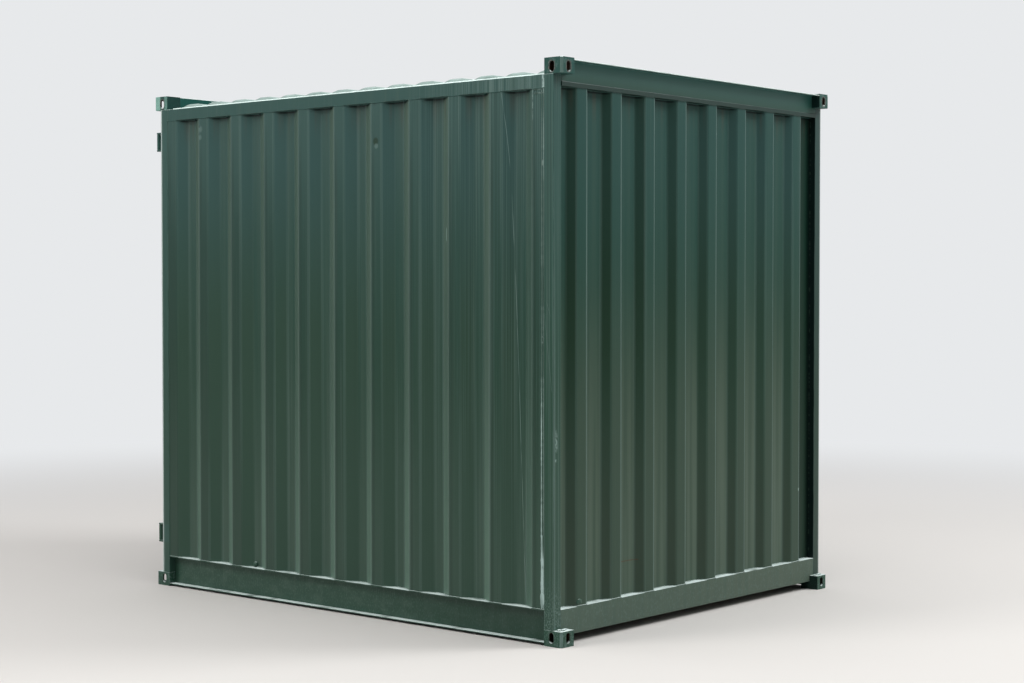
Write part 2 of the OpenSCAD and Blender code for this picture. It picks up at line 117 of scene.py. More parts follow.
def share(name, text, default):
    """A property for a share from nothing to all."""
    return bpy.props.FloatProperty(
        name=name, description=text, default=default, min=0.0, max=1.0, subtype="FACTOR",
    )


class PaintSettings(bpy.types.PropertyGroup):
    """Colours of the paint, the dirt on it and the other finishes."""

    green: tint("Green", "Fresh paint", (0.012, 0.058, 0.034))
    faded: tint("Faded green", "Paint that the weather has dulled", (0.018, 0.065, 0.041))
    cool: tint("Upper green", "Paint towards the top of the walls", (0.025, 0.083, 0.075))
    dust: tint("Dust", "Dry dirt in runs and on inner flats", (0.062, 0.104, 0.080))
    settled: tint("Settled dust", "Paint with fine dust towards the ground", (0.050, 0.090, 0.066))
    # Painted light: the colour that lights up the slopes facing the doors.
    light_painted: tint("Bleached slope", "Paint on the slopes that face the doors", (0.066, 0.113, 0.087))
    haze: tint("Haze", "Paint that the sky has dulled at the top of the walls", (0.043, 0.092, 0.082))
    # Painted light and shade: tones for the slopes facing the walls' corner, set to how light falls on them.
    slope_top: tint("Upper slope", "Top of the slopes that face the walls' corner", (0.042, 0.0945, 0.089))
    painted_slope_low: tint("Lower slope", "Foot of the slopes that face the walls' corner", (0.031, 0.072, 0.049))
    film: tint("Film", "Brown dust film low on the end wall", (0.078, 0.096, 0.070))
    # Painted shade: dark teal for faces that lie in shade under the roof's edge.
    sheltered: tint("Sheltered", "Fresh paint on faces that the roof's edge shelters", (0.004, 0.065, 0.052))
    # Painted shade: dark green standing in for the shade by the near post and in a dent.
    painted_shade_green: tint("Deep green", "Paint in the shade beside the near post", (0.003, 0.020, 0.002))
    pale_line: tint("Pale line", "Fine lines that rain has left", (0.09, 0.13, 0.115))
    # Chalky dust with painted sky light on faces that look up, and painted highlights on some edges.
    chalk_and_highlight: tint("Chalk", "Chalked paint and dust on faces that look up", (0.72, 0.82, 0.79))
    # Painted highlight: pale colour for reflected sky on one upper fitting's outer face.
    side_highlight: tint("Pale side", "Paint bleached on one fitting's side", (0.26, 0.48, 0.41))
    worn_rim: tint("Worn rim", "Primer that shows round the fittings' holes", (0.20, 0.16, 0.15))
    # Also the painted highlight on the end wall's bends and beside a dent.
    wear_and_highlight: tint("Worn edge", "Paint rubbed pale along edges and bends", (0.16, 0.24, 0.22))
    sealant: tint("Sealant", "Weathered sealant along the seams", (0.40, 0.54, 0.51))
    rust: tint("Rust", "Rust at welds and lower edges", (0.10, 0.035, 0.014))
    shadow: tint("Shadow", "Dirt and shade in corners and under edges", (0.003, 0.011, 0.010))
    underside: tint("Underside", "Dark coating under the floor", (0.012, 0.014, 0.014))
    rubber: tint("Rubber", "Door seals", (0.012, 0.012, 0.013))
    board_light: tint("Light board", "Pale grain of the floor boards", (0.34, 0.20, 0.10))
    board_dark: tint("Dark board", "Dark grain of the floor boards", (0.15, 0.075, 0.035))


class SheetSettings(bpy.types.PropertyGroup):
    """Sizes of the folded sheets' bends, waves and dents."""

    bend: length("Bend", "Setback of a rounded fold of the sheets", 0.008)
    wave: length("Wave", "Height of the soft waves in the sheets", 0.0005)
    wave_margin: length("Wave margin", "Distance from the frame in which the waves die out", 0.07)
    row: length("Row", "Height of a row of faces in the walls", 0.055)
    dent_radius: length("Dent radius", "Radius of a small dent", 0.016)
    dent_depth: length("Dent depth", "Depth of a small dent", 0.0045)
    board_gap: length("Board gap", "Gap between two floor boards", 0.002)
    board_count: bpy.props.IntProperty(
        name="Boards", description="Number of floor boards", default=9, min=1, max=30,
    )


class EdgeSettings(bpy.types.PropertyGroup):
    """Setbacks of the rounded edges."""

    post: length("Post", "Corners of the square tubes", 0.008)
    top_rail: length("Top rail", "Edges of the top side rails", 0.005)
    bottom_rail: length("Bottom rail", "Edges of the bottom side rails", 0.0016)
    door_header: length("Door header", "Edges of the door end's header", 0.003)
    blind_header: length("Blind header", "Edges of the blind end's header", 0.0016)
    sill: length("Sill", "Edges of the sills", 0.006)
    fitting_corner: length("Fitting corner", "Upright outer corner of a corner fitting", 0.009)
    fitting: length("Fitting", "Other edges of a corner fitting and its holes", 0.0042)
    board: length("Board", "Edges of the floor boards", 0.0015)
    cross_member: length("Cross member", "Edges of the cross members", 0.0015)
    door_frame: length("Door frame", "Edges of the door frames", 0.003)
    gasket: length("Gasket", "Edges of the door seals", 0.0015)
    gear: length("Gear", "Edges of the hinges and the locking gear", 0.0012)
    keeper: length("Keeper", "Edges of the rods' keepers", 0.0015)


class WeldSettings(bpy.types.PropertyGroup):
    """Sizes of the weld beads and the sealant."""

    bead: length("Bead", "Radius of a weld bead", 0.0026)
    seam: length("Seam", "Half width of the sealed seams between posts and walls", 0.0026)
    ripple: length("Ripple", "Length of a ripple along a bead", 0.005)
    foot_bead: length("Foot bead", "Radius of the thick sealant at a post's foot", 0.0068)
    rail_bead: length("Rail bead", "Radius of the sealant across a top rail's end", 0.0035)
    proud: length("Proud", "Distance of the seams' middle from the wall's face", 0.0002)


class StageSettings(bpy.types.PropertyGroup):
    """Place of the camera and colours of the studio."""

    camera: bpy.props.FloatVectorProperty(
        name="Camera", description="Place of the camera", default=(7.0775, 6.2126, 1.4933), size=3,
        subtype="TRANSLATION",
    )
    yaw: bpy.props.FloatProperty(
        name="Yaw", description="Turn of the view from -X towards -Y", default=radians(40.60),
        subtype="ANGLE",
    )
    pitch: bpy.props.FloatProperty(
        name="Pitch", description="Rise of the view", default=radians(-1.654), subtype="ANGLE",
    )
    lens: bpy.props.FloatProperty(
        name="Lens", description="Focal length in millimetres", default=66.55, min=1.0,
    )
    floor: tint("Floor", "Plain pale floor", (0.672, 0.636, 0.606))
    backdrop: tint("Backdrop", "Background that the camera and gloss see", (0.80, 0.815, 0.83))
    dim_side: tint("Dim side", "What gloss sees behind the camera", (0.16, 0.19, 0.18))
    fill: share("Fill", "Strength of the even light from all round", 0.50)


class Wire:
    """A shader value in Python expressions: an operator on it adds its Math node."""

    def __init__(self, finish, socket):
        self.finish = finish
        self.socket = socket

    def output(self, key):
        """Another output of the same node."""
        return Wire(self.finish, self.socket.node.outputs[key])

    def math(self, operation, first, second=0.0):
        """Adds a Math node to the same tree."""
        return self.finish.node("ShaderNodeMath", {0: first, 1: second}, operation=operation)

    def __add__(self, other):
        return self.math("ADD", self, other)

    def __radd__(self, other):
        return self.math("ADD", other, self)

    def __sub__(self, other):
        return self.math("SUBTRACT", self, other)

    def __rsub__(self, other):
        return self.math("SUBTRACT", other, self)

    def __mul__(self, other):
        return self.math("MULTIPLY", self, other)

    def __rmul__(self, other):
        return self.math("MULTIPLY", other, self)

    def __truediv__(self, other):
        return self.math("DIVIDE", self, other)

    def __abs__(self):
        return self.math("ABSOLUTE", self)

    def least(self, other):
        """The smaller of the two."""
        return self.math("MINIMUM", self, other)

    def most(self, other):
        """The larger of the two."""
        return self.math("MAXIMUM", self, other)


class Nodes:
    """A shader tree in the making, whose nodes all come from one method."""

    def __init__(self, tree, coordinates):
        self.tree = tree
        self.tree.nodes.clear()
        self.point = self.node("ShaderNodeTexCoord", out=coordinates)
        self.x = self.node("ShaderNodeSeparateXYZ", {0: self.point})
        self.y = self.x.output(1)
        self.z = self.x.output(2)

    def node(self, kind, inputs=None, out=0, **settings):
        """Adds a node: its settings first, then the values or links of its sockets."""
        made = self.tree.nodes.new(kind)
        for key, value in settings.items():
            setattr(made, key, value)
        for key, value in (inputs or {}).items():
            socket = made.inputs[key]
            if isinstance(value, Wire):
                self.tree.links.new(value.socket, socket)
            elif socket.type == "RGBA":
                socket.default_value = (*value[:3], 1.0)
            else:
                socket.default_value = value
        return Wire(self, made.outputs[out] if made.outputs else None)

    def blend(self, factor, first, second):
        """Mixes two colours."""
        return self.node("ShaderNodeMix", {0: factor, 6: first, 7: second}, out=2, data_type="RGBA")

    def ease(self, value, low, high):
        """Nothing at low and all at high, with a smooth rise between."""
        return self.node("ShaderNodeMapRange", {0: value, 1: low, 2: high}, interpolation_type="SMOOTHSTEP")

    def grain(self, scale, detail=2.0):
        """Noise whose grains are stretched by the scale along each axis."""
        stretched = self.node("ShaderNodeVectorMath", {0: self.point, 1: scale}, operation="MULTIPLY")
        return self.node("ShaderNodeTexNoise", {"Vector": stretched, "Scale": 1.0, "Detail": detail})


class Finish(Nodes):
    """A material in the making."""

    def __init__(self, name):
        self.material = bpy.data.materials.new(name)
        self.material.use_nodes = True
        super().__init__(self.material.node_tree, "Object")
        normal = self.node("ShaderNodeNewGeometry", out="Normal")
        self.facing_x = self.node("ShaderNodeSeparateXYZ", {0: normal})
        self.facing_y = self.facing_x.output(1)
        self.up = self.facing_x.output(2)

    def rounded(self):
        """One on the faces of a rounded edge, and nothing elsewhere."""
        return self.node("ShaderNodeAttribute", out="Fac", attribute_name="rounded")

    def spot(self, across, level, place, radius):
        """A soft round spot at a place across and up a face."""
        off_side = across - place[0]
        off_level = level - place[1]
        return self.ease(off_side * off_side + off_level * off_level, radius ** 2, (0.4 * radius) ** 2)

    def grit(self, fineness, detail=3.0):
        """Noise whose grains are as long as they are wide."""
        return self.grain((fineness, fineness, fineness), detail)

    def at_right(self):
        """All on the right side, and nothing on the left."""
        return self.ease(self.x, 0.0, 0.1)

    def at_left(self):
        """All close to the left side, and nothing elsewhere."""
        return self.ease(self.x, -0.9, -0.95)

    def at_blind_end(self):
        """All on the frame of the blind end, and nothing elsewhere."""
        return self.ease(self.y, 1.2, 1.21)

    def surface(self, color, roughness, height, distance, gloss=0.5):
        """Ends the material in a Principled shader with a bump."""
        bump = self.node("ShaderNodeBump", {"Height": height, "Distance": distance, "Strength": 1.0})
        shader = self.node("ShaderNodeBsdfPrincipled", {
            "Base Color": color, "Roughness": roughness, "Specular IOR Level": gloss, "Normal": bump,
        })
        self.node("ShaderNodeOutputMaterial", {"Surface": shader})
        return self.material


def paint_settings():
    return bpy.context.scene.container_paint


def weathered(
    name, runs=0.3, lines=0.3, chalk_and_highlight=0.9, worn=0.25, marks=None, dusty=0.0, settled=0.2, depth=1.0,
    flat=0.25, gloss=0.3,
):
    """Green paint with rain runs, fine lines, dust, worn edges, and chalky dust with painted sky light on
    faces that look up.

    The marks are a function from the finish, its colour and its run grain to the colour with
    what only that part shows. The chalky dust and painted sky light start on faces that look up by more than
    flat.
    """
    paint = paint_settings()
    f = Finish(name)
    broad = f.grain((1.3, 1.3, 0.8), 3.0)
    run_grain = f.grain((34.0, 34.0, 0.45), 2.0)
    line_grain = f.grain((150.0, 150.0, 0.7), 2.0)
    speck = f.grit(420.0, 2.0)
    patch = f.grit(9.0)
    green, faded, cool = (Vector(tone) * depth for tone in (paint.green, paint.faded, paint.cool))
    color = f.blend(f.ease(broad, 0.35, 0.7), green, faded)
    color = f.blend(f.ease(f.z, 0.9, 2.4) * 0.8, color, cool)
    color = f.blend(f.ease(f.z, 1.3, 0.2) * settled, color, paint.settled)
    dirt = f.ease(run_grain, 0.5, 0.72) * runs + dusty
    splash = f.ease(f.z, 0.5, 0.1) * f.ease(speck, 0.4, 0.7) * 0.35
    dirt = (dirt + splash).least(1.0)
    color = f.blend(dirt, color, paint.dust)
    pale = f.ease(line_grain, 0.6, 0.72) * lines
    color = f.blend(pale, color, paint.pale_line)
    if marks is not None:
        color = marks(f, color, run_grain)
    rubbed = f.ease(run_grain if depth < 1.0 else patch, 0.3, 0.65)
    color = f.blend(f.rounded() * rubbed * worn, color, paint.wear_and_highlight)
    # Chalky dust and painted sky light on faces that look up.
    top = f.ease(f.up, flat, 0.5 + 0.5 * flat) * f.ease(patch, 0.15, 0.5) * chalk_and_highlight
    color = f.blend(top, color, paint.chalk_and_highlight)
    rough = 0.36 + dirt * 0.3 + top * 0.3 + f.ease(broad, 0.3, 0.7) * 0.08
    height = run_grain * 0.6 + line_grain * 0.25 + speck * 0.15
    return f.surface(color, rough, height, 0.0004, gloss)


def under_edge(f, color, run_grain, reach, face, top):
    """Shade and brown runs on the hollows of a folded sheet close under the beam above it."""
    paint = paint_settings()
    hollow = f.ease(face - abs(reach), 0.004, 0.020)
    brown = f.ease(f.z, top - 0.16, top - 0.02) * f.ease(run_grain, 0.45, 0.65) * 0.18
    color = f.blend(hollow * brown, color, paint.rust)
    return f.blend(hollow * f.ease(f.z, top - 0.014, top - 0.007) * 0.9, color, paint.shadow)


def painted_slope_light(f):
    """Painted light for the slopes that face the corner between the two walls, lighter towards the top."""
    paint = paint_settings()
    return f.blend(f.ease(f.z, 1.2, 2.2), paint.painted_slope_low, paint.slope_top)


def streaks(f, low, high, fineness=380.0):
    """Fine upright streaks that fill the face between two shares of the noise."""
    return f.ease(f.grain((fineness, fineness, 0.6)), low, high)


def side_wall_marks(f, color, run_grain):
    """Painted light on the slopes, painted shade on the outer flats and under the rail, dust on the inner
    flats, fine streaks, a long bent scratch, a few spots, and painted shade and a painted highlight by a
    dent.
    """
    paint = paint_settings()
    color = f.blend(f.ease(f.z, 1.6, 2.3) * 0.5, color, paint.haze)
    low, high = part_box("side_wall_right")
    away = f.ease(f.y, 0.4, -1.0)
    outer = f.ease(abs(f.x), high.x - 0.009, high.x - 0.003)
    folds, end_lands, bend_at = 10, 0.066, 0.013
    pitch = (high.y - low.y - end_lands) / folds
    turns = (f.y - low.y) / pitch
    # Painted shade on the outer flats, lower down and in a band beside each bend.
    beside = f.ease(abs(turns.math("FRACT", turns) * pitch - bend_at), 0.014, 0.006) * 0.4
    painted_shade_flats = (f.ease(f.z, 2.2, 1.6) * (away * 0.25 + 0.12)).most(beside * f.ease(f.z, 2.3, 1.9))
    color = f.blend(painted_shade_flats * outer, color, Vector(paint.green) * 0.4)
    amount = away * 0.16 + 0.1 + f.ease(f.z, 0.7, 0.2) * away * 0.3
    hollow = f.ease(high.x - abs(f.x), 0.010, 0.033)
    color = f.blend(hollow * f.ease(run_grain, 0.2, 0.6) * amount, color, paint.dust)
    # Painted light on the slopes that face the doors, stronger towards the ground and weaker near the blind
    # end.
    door_slope_light = f.blend(f.ease(f.z, 1.4, 0.1), paint.light_painted, Vector(paint.light_painted) * 1.6)
    uneven = (f.ease(run_grain, 0.2, 0.6) * 0.3 + 0.7) * (1.0 - f.ease(f.y, 0.9, 1.15) * 0.45)
    color = f.blend(f.ease(f.facing_y, -0.15, -0.42) * uneven, color, door_slope_light)
    # Painted light on the side walls' slopes that face the walls' corner.
    color = f.blend(f.ease(f.facing_y, 0.15, 0.42) * 0.9, color, painted_slope_light(f))
    near = f.ease(f.y, 0.1, 1.15) * (f.ease(f.z, 0.4, 1.3) * 0.8 + 0.2)
    color = f.blend(streaks(f, 0.56, 0.68) * near * 0.4, color, paint.wear_and_highlight)
    color = f.blend(streaks(f, 0.44, 0.34) * near * 0.6, color, Vector(paint.green) * 0.5)
    color = under_edge(f, color, run_grain, f.x, high.x, high.z)
    on_right = f.at_right()
    foot, lean, bent_from, curve = 1.0919, 0.0395, 1.856, 0.12
    above = (f.z - bent_from).most(0.0)
    off = f.y - (foot - f.z * lean - above * above * curve)
    scratch = f.ease(abs(off), 0.0013, 0.0003) * f.ease(f.grain((9.0, 9.0, 5.0)), 0.4, 0.6) * 0.4
    nick_y, nick_z, line_y = 0.653, 1.72, 1.149
    nick = f.ease(abs(f.y - nick_y), 0.0022, 0.0008) * f.ease(abs(f.z - nick_z), 0.034, 0.022) * 0.9
    color = f.blend((scratch + nick) * on_right, color, paint.sealant)
    line = f.ease(abs(f.y - line_y), 0.003, 0.001) * f.ease(f.z, 2.15, 2.24)
    color = f.blend(line * f.ease(f.grit(40.0, 2.0), 0.4, 0.6) * on_right * 0.5, color, paint.sealant)
    # Pale spots with dark spots above them by the far post, and painted shade with a painted highlight at
    # the lower dent.
    for place, radius, strength, tone in (
        ((-0.966, 2.262), 0.020, 0.35, paint.wear_and_highlight),
        ((-0.968, 2.222), 0.016, 0.35, paint.wear_and_highlight),
        ((-0.973, 2.274), 0.008, 0.6, paint.shadow),
        ((-0.976, 2.235), 0.006, 0.6, paint.shadow),
        ((0.234, 2.143), 0.022, 0.75, paint.painted_shade_green),
        ((0.238, 2.122), 0.015, 0.4, paint.wear_and_highlight),
    ):
        color = f.blend(f.spot(f.y, f.z, place, radius) * on_right * strength, color, tone)
    return color


def end_wall_marks(f, color, run_grain):
    """Painted shade on the slopes towards the near post, dusty inner flats, painted highlights on the bends
    and painted shade in the far corner.
    """
    paint = paint_settings()
    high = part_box("end_wall")[1]
    color = f.blend(f.ease(f.z, 1.8, 0.8) * 0.33, color, paint.film)
    away = f.ease(f.x, 0.7, -0.9)
    held = (f.ease(f.z, 1.6, 0.3) * 0.9 + 0.1) * (away * 0.25 + 0.75)
    hollow = f.ease(high.y - f.y, 0.010, 0.033) * f.ease(run_grain, 0.2, 0.6)
    color = f.blend(hollow * held, color, (Vector(paint.film) + Vector(paint.dust)) * 0.68)
    # Painted shade on the slopes facing the near post, darker towards it and upwards, with a brown dust film
    # low down.
    tone = f.blend(f.ease(f.z, 0.5, 1.6) * (1.0 - away) * 0.55, painted_slope_light(f), paint.painted_shade_green)
    tone = f.blend(f.ease(f.z, 1.2, 0.2) * 0.5, tone, Vector(paint.film) * 0.8)
    color = f.blend(f.ease(f.facing_x, 0.2, 0.5) * 0.9, color, tone)
    # Painted highlight along the end wall's bends at the outer flats' far edges.
    bend = f.rounded() * f.ease(f.facing_x, -0.02, -0.2) * f.ease(f.y, 1.235, 1.25)
    color = f.blend(bend * 0.35, color, paint.wear_and_highlight)
    # Painted shade: the far inner flat dark green and the far corner dark.
    color = f.blend(f.ease(f.x, -0.885, -0.9) * 0.85, color, Vector(paint.green) * 0.4)
    color = f.blend(f.ease(f.x, -0.96, -0.988) * 0.7, color, paint.shadow)
    color = under_edge(f, color, run_grain, f.y, high.y, high.z)
    for place, radius in (((-0.146, 2.194), 0.006), ((-0.858, 0.502), 0.010)):
        color = f.blend(f.spot(f.x, f.z, place, radius) * 0.6, color, paint.sealant)
    scuff_x, scuff_z = 0.487, 0.297
    scuff = f.ease(abs(f.z - scuff_z), 0.004, 0.001) * f.ease(abs(f.x - scuff_x), 0.066, 0.055)
    return f.blend(scuff * 0.5, color, paint.rust)


def rail_marks(f, color, run_grain):
    """Pale streaks that grow denser towards the blind end, and sealant at the rail's end."""
    paint = paint_settings()
    near = f.ease(f.y, 0.3, 1.2)
    color = f.blend(0.35, color, paint.haze)
    color = f.blend(streaks(f, 0.46, 0.62, 520.0) * near * 0.75, color, paint.wear_and_highlight)
    color = f.blend(streaks(f, 0.46, 0.36, 260.0) * near * 0.35, color, Vector(paint.green) * 0.8)
    end = f.ease(f.y + run_grain * 0.012, 1.207, 1.213) * f.ease(f.grit(60.0), 0.35, 0.6)
    return f.blend(end * 0.9, color, paint.sealant)


def header_marks(f, color, run_grain):
    """Painted shade on the lower half and on the lip, and a pale line of chalky dust with a painted
    highlight along the blind header's flange edge.
    """
    paint = paint_settings()
    low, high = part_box("header_blind_end")
    # Painted shade: darker towards the bottom, and dark on the lip.
    color = f.blend(f.ease(f.z, high.z - 0.012, low.z + 0.021) * 0.75, color, Vector(paint.green) * 0.7)
    color = f.blend(f.ease(f.z, low.z + 0.022, low.z + 0.018) * 0.6, color, paint.shadow)
    # Painted highlight with chalky dust along the flange's front edge.
    edge = f.ease(f.y, high.y - 0.009, high.y - 0.004) * f.ease(f.grit(14.0), 0.15, 0.45)
    return f.blend(edge * 0.9, color, paint.chalk_and_highlight)


def post_marks(f, color, run_grain):
    """Scratches and a rubbed line on the post between the two walls seen, patches at the hinges, painted
    highlights along outer post edges and painted shade on the far post.
    """
    paint = paint_settings()
    near = f.at_blind_end() * f.at_right()
    rubbed_x, patch_x, patch_z = 1.032, 1.021, 0.855
    rubbed = f.ease(abs(f.x - rubbed_x), 0.0026, 0.001) * f.ease(f.z, 2.1, 0.9)
    rubbed = rubbed * f.ease(run_grain, 0.25, 0.5)
    for lean, level, low, high in ((0.1229, 1.38495, 1.05, 1.40), (0.3612, 1.7436, 1.365, 1.44)):
        line = f.ease(abs(f.y + f.z * lean - level), 0.0013, 0.0004)
        ends = f.ease(f.z, low, low + 0.02) * f.ease(f.z, high, high - 0.02)
        rubbed = rubbed.most(line * ends * 0.6)
    color = f.blend(rubbed * near * 0.7, color, paint.wear_and_highlight)
    color = f.blend(streaks(f, 0.54, 0.68) * near * 0.4, color, paint.wear_and_highlight)
    color = f.blend(streaks(f, 0.46, 0.34) * near * 0.45, color, Vector(paint.green) * 0.6)
    foot = f.ease(f.z, 0.32, 0.08) * f.ease(f.grain((170.0, 170.0, 110.0), 3.0), 0.48, 0.64)
    color = f.blend(foot * near * 0.6, color, paint.wear_and_highlight)
    patch = f.ease(abs(f.x - patch_x), 0.010, 0.004) * f.ease(abs(f.z - patch_z), 0.055, 0.03)
    patch = patch.most(f.spot(f.x, f.z, (1.0235, 0.773), 0.008))
    patch = patch * f.ease(f.grain((120.0, 120.0, 60.0), 3.0), 0.35, 0.65)
    color = f.blend(patch * near * 0.4, color, paint.sealant)
    for level in HINGE_LEVELS:
        plate = f.ease(abs(f.z - level), 0.046, 0.042) * f.ease(f.y, -1.21, -1.225)
        color = f.blend(plate * 0.35, color, Vector(paint.cool) * 1.25)
    color = f.blend(f.ease(f.y, -1.2, -1.21) * 0.3, color, paint.haze)
    # Painted highlight along the far post's edge and the door end right post's outer edge, and painted shade
    # over the far post, darkest on its inner face.
    far = f.at_left() * f.at_blind_end()
    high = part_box("corner_post_blind_end_right")[1]
    rim = f.ease(f.x, 0.010 - high.x, 0.005 - high.x) * f.ease(f.facing_y, 0.3, 0.6) * far
    side_edge_highlight = f.ease(f.y, 0.011 - high.y, 0.006 - high.y) * f.ease(f.facing_x, 0.3, 0.6)
    rim = rim.most(side_edge_highlight * f.at_right())
    color = f.blend(rim * 0.6, color, paint.chalk_and_highlight)
    inner = f.ease(f.facing_x, 0.6, 0.9) * far
    color = f.blend(inner.most(far * 0.45), color, paint.shadow)
    dots_y = 1.2355
    dots = f.ease(abs(f.y - dots_y), 0.004, 0.002) * f.ease(f.grain((5.0, 5.0, 60.0)), 0.5, 0.62)
    return f.blend(dots * inner * 0.5, color, paint.dust)


def fitting_marks(f, color, run_grain):
    """Worn paint round the oval holes of the fittings, a painted highlight on one fitting's face, painted
    shade on inner faces, and rust with painted shade inside them.
    """
    paint = paint_settings()
    low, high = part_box("upper_fitting_blind_end_right")
    side = hole_centre("side_hole_blind_end_right")
    end = hole_centre("end_hole_blind_end_right")
    hole_half_length, hole_half_width, rim = 0.0225, 0.0135, 0.008
    level = f.z.least(high.z - f.z)
    height = level - (high.z - side.z)

    def ring(along, across):
        straight = (abs(along) - (hole_half_length - hole_half_width)).most(0.0)
        squared = straight * straight + across * across
        return f.ease(squared, (hole_half_width + rim) ** 2, hole_half_width ** 2)

    on_side = ring(height, abs(f.y) - side.y) * f.ease(abs(f.x), high.x - 0.006, high.x - 0.003)
    on_end = ring(height, abs(f.x) - end.x) * f.ease(abs(f.y), high.y - 0.006, high.y - 0.003)
    color = f.blend(f.ease(f.grit(60.0), 0.5, 0.7) * 0.3, color, paint.wear_and_highlight)
    pitted = f.ease(f.grit(190.0), 0.48, 0.66) * f.ease(f.z, 0.6, 0.3)
    color = f.blend(pitted * 0.45, color, paint.wear_and_highlight)
    # Painted highlight on the outer face of the upper fitting at the door end, standing in for light
    # reflected at its rounded corner.
    light_painted = f.ease(f.y, -1.262, -1.272) * f.ease(f.x, 1.03, 1.038) * f.ease(f.z, 2.3, 2.35)
    color = f.blend(light_painted * 0.85, color, paint.side_highlight)
    beside = f.ease(f.y, -1.238, -1.232) * f.ease(f.y, -1.2, -1.21)
    beside = beside * f.ease(f.facing_x, 0.6, 0.9) * f.ease(f.z, 2.3, 2.35)
    color = f.blend(beside * 0.4, color, paint.side_highlight)
    # Painted shade on the inner faces of the door end's upper fittings.
    above = f.ease(f.facing_y, 0.8, 0.95) * f.ease(f.y, 1.2, 1.1) * f.ease(f.z, 1.2, 1.3)
    color = f.blend(above * 0.9, color, Vector(paint.sheltered) * 0.45)
    # Painted shade on the inner side of the far fittings.
    painted_shade_side = f.ease(f.facing_x, 0.8, 0.95) * f.at_left() * f.at_blind_end()
    color = f.blend(painted_shade_side * 0.8, color, paint.shadow)
    broken = f.ease(f.grit(130.0), 0.35, 0.55)
    high_up = f.ease(f.z, 0.3, 0.6)
    rims = on_side.most(on_end) * broken * (high_up * 0.55 + 0.1)
    color = f.blend(rims, color, paint.worn_rim)
    # Rust and painted shade on the faces inside the fittings.
    across = (high.x - abs(f.x)).least(abs(f.x) - low.x)
    along = (high.y - abs(f.y)).least(abs(f.y) - low.y)
    upright = level.least((high.z - low.z) - level)
    rust_and_shade_inside = f.ease(across.least(along).least(upright), 0.003, 0.0075)
    return f.blend(rust_and_shade_inside, color, Vector(paint.rust) * 0.2)


def shaded_face_marks(f, color, run_grain):
    """Painted shade on the door header's face above the roof."""
    return f.blend(f.ease(f.facing_y, 0.6, 0.9) * 0.85, color, paint_settings().sheltered)


def low_beam_marks(f, color, run_grain):
    """Dust and worn spots of uneven size along the lower beams."""
    paint = paint_settings()
    mottled = f.ease(f.grain((14.0, 14.0, 22.0), 4.0), 0.42, 0.7) * 0.35
    color = f.blend(mottled, color, Vector(paint.dust) * 1.2)
    away = f.at_blind_end() * (f.ease(f.x, 0.9, -0.9) * 0.25 + 0.25)
    color = f.blend(away * (f.ease(run_grain, 0.3, 0.6) * 0.5 + 0.5), color, Vector(paint.film) * 1.35)
    worn = f.ease(f.grain((150.0, 150.0, 90.0), 3.0), 0.52, 0.68) * 0.2
    return f.blend(worn, color, paint.wear_and_highlight)


def bottom_rail_marks(f, color, run_grain):
    """Mottled dust, darker towards the near post, and painted shade at the door end."""
    color = low_beam_marks(f, color, run_grain)
    # Darker towards the near post, and painted shade in the recess at the door end.
    dark = (f.ease(f.y, 0.0, 1.1) * 0.45).most(f.ease(f.y, -1.175, -1.19) * 0.6)
    return f.blend(dark, color, Vector(paint_settings().green) * 0.45)


def roof_marks(f, color, run_grain):
    """Dust on the roof, and painted sky light with dust on the slopes at the ribs' ends."""
    paint = paint_settings()
    color = f.blend(0.5, color, Vector(paint.dust) * 1.6)
    # Painted sky light with dust on the rib ends' slopes.
    return f.blend(f.ease(abs(f.facing_x), 0.04, 0.2), color, Vector(paint.chalk_and_highlight) * 1.25)


def hole_centre(name):
    """Middle of one of the record's free openings."""
    box = next(o["box_m"] for o in frame["record"]["physics"]["openings"] if o["name"] == name)
    return (Vector(box[0]) + Vector(box[1])) / 2


def floor_boards_finish(name):
    paint = paint_settings()
    f = Finish(name)
    grain = f.grain((60.0, 2.2, 60.0), 4.0)
    figure = f.grain((9.0, 0.5, 9.0), 3.0)
    wear = f.grit(4.0, 4.0)
    color = f.blend(f.ease(grain * 0.6 + figure * 0.4, 0.35, 0.65), paint.board_light, paint.board_dark)
    color = f.blend(f.ease(wear, 0.5, 0.8) * 0.4, color, paint.dust)
    return f.surface(color, 0.55 + grain * 0.2, grain, 0.0005)


def rubber_finish(name):
    paint = paint_settings()
    f = Finish(name)
    grit = f.grit(300.0)
    color = f.blend(f.ease(grit, 0.45, 0.75) * 0.4, paint.rubber, paint.dust)
    return f.surface(color, 0.62 + grit * 0.2, grit, 0.0003)


def underside_finish(name):
    paint = paint_settings()
    f = Finish(name)
    patches = f.grit(7.0, 4.0)
    grit = f.grit(220.0)
    color = f.blend(f.ease(patches, 0.5, 0.75) * 0.5, paint.underside, paint.rust)
    return f.surface(color, 0.6 + grit * 0.25, grit, 0.0006)


def sealant_finish(name):
    """Sealant that shows low on the seam in the wall and high on the seam at the post."""
    paint = paint_settings()
    f = Finish(name)
    along = f.grain((30.0, 30.0, 5.0), 4.0)
    grit = f.grit(260.0)
    at_post = f.ease(f.y, 1.202, 1.205)
    bare = (f.ease(f.z, 1.2, 0.9) * 0.75 + 0.2) * (1.0 - at_post)
    bare = bare + (f.ease(f.z, 1.9, 2.0) * 0.35 + f.ease(f.z, 1.6, 1.2) * 0.15 + 0.15) * at_post
    bare = bare.most(f.ease(f.z, 2.28, 2.30) * 0.8).most(f.ease(f.z, 0.5, 0.35) * 0.95)
    color = f.blend(f.ease(along, 0.3, 0.55) * bare, Vector(paint.faded) * 0.9, paint.sealant)
    return f.surface(color, 0.4 + grit * 0.2, grit, 0.0005)


